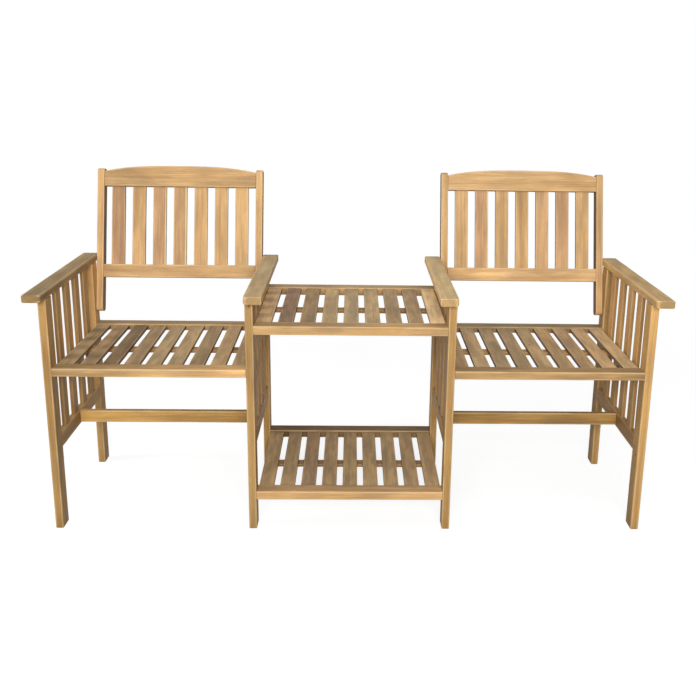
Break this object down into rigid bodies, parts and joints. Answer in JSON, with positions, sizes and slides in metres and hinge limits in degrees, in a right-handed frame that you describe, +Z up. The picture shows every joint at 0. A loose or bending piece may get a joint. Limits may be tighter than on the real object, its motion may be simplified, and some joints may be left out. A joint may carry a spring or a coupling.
{
  "type": "garden bench with side table",
  "caption": "Slatted hardwood garden bench: two armchair seats with leaning arched backs, joined side by side by a table with a lower shelf.",
  "frame": {"origin": "on the ground, under the middle of the overall box", "axes": "+X along the bench, to the right as seen from the front, +Y from the front to the backs, +Z up; left and right in names are as seen from the front"},
  "size_m": [1.6, 0.6345, 0.8931],
  "materials": {
    "leg_wood": "oiled hardwood, planed, golden tan, straight grain along the leg",
    "armrest_wood": "oiled hardwood, planed, greyer brown on top, grain along the arm",
    "side_wood": "oiled hardwood, planed, reddish brown",
    "rail_wood": "oiled hardwood, planed, golden tan, grain along the rail",
    "slat_wood": "oiled hardwood, planed, brown, each slat its own tone, grain along the slat",
    "back_wood": "oiled hardwood, planed, golden tan",
    "bolt_steel": "zinc-plated steel, slightly dull"
  },
  "bodies": {
    "root": {"leg_front_outer_left": "leg_wood", "leg_front_inner_left": "leg_wood", "leg_front_inner_right": "leg_wood", "leg_front_outer_right": "leg_wood", "leg_rear_outer_left": "leg_wood", "leg_rear_inner_left": "leg_wood", "leg_rear_inner_right": "leg_wood", "leg_rear_outer_right": "leg_wood", "armrest_outer_left": "armrest_wood", "armrest_inner_left": "armrest_wood", "armrest_inner_right": "armrest_wood", "armrest_outer_right": "armrest_wood", "side_panel_outer_left": "side_wood", "side_panel_inner_left": "side_wood", "side_panel_inner_right": "side_wood", "side_panel_outer_right": "side_wood", "left_stretcher": "rail_wood", "right_stretcher": "rail_wood", "left_seat_front_rail": "rail_wood", "left_seat_rear_rail": "rail_wood", "left_seat_slats": "slat_wood", "right_seat_front_rail": "rail_wood", "right_seat_rear_rail": "rail_wood", "right_seat_slats": "slat_wood", "table_front_rail": "rail_wood", "table_rear_rail": "rail_wood", "table_slats": "slat_wood", "shelf_front_rail": "rail_wood", "shelf_rear_rail": "rail_wood", "shelf_slats": "slat_wood", "left_back_post_outer": "back_wood", "left_back_post_inner": "back_wood", "left_back_bottom_rail": "back_wood", "left_back_top_rail": "back_wood", "left_back_slat_1": "back_wood", "left_back_slat_2": "back_wood", "left_back_slat_3": "back_wood", "left_back_slat_4": "back_wood", "left_back_slat_5": "back_wood", "left_back_slat_6": "back_wood", "left_back_slat_7": "back_wood", "right_back_post_inner": "back_wood", "right_back_post_outer": "back_wood", "right_back_bottom_rail": "back_wood", "right_back_top_rail": "back_wood", "right_back_slat_1": "back_wood", "right_back_slat_2": "back_wood", "right_back_slat_3": "back_wood", "right_back_slat_4": "back_wood", "right_back_slat_5": "back_wood", "right_back_slat_6": "back_wood", "right_back_slat_7": "back_wood", "leg_post_bolt_outer_left": "bolt_steel", "leg_post_bolt_inner_left": "bolt_steel", "leg_post_bolt_inner_right": "bolt_steel", "leg_post_bolt_outer_right": "bolt_steel", "arm_post_bolt_outer_left": "bolt_steel", "arm_post_bolt_inner_left": "bolt_steel", "arm_post_bolt_inner_right": "bolt_steel", "arm_post_bolt_outer_right": "bolt_steel"}
  },
  "joints": []
}
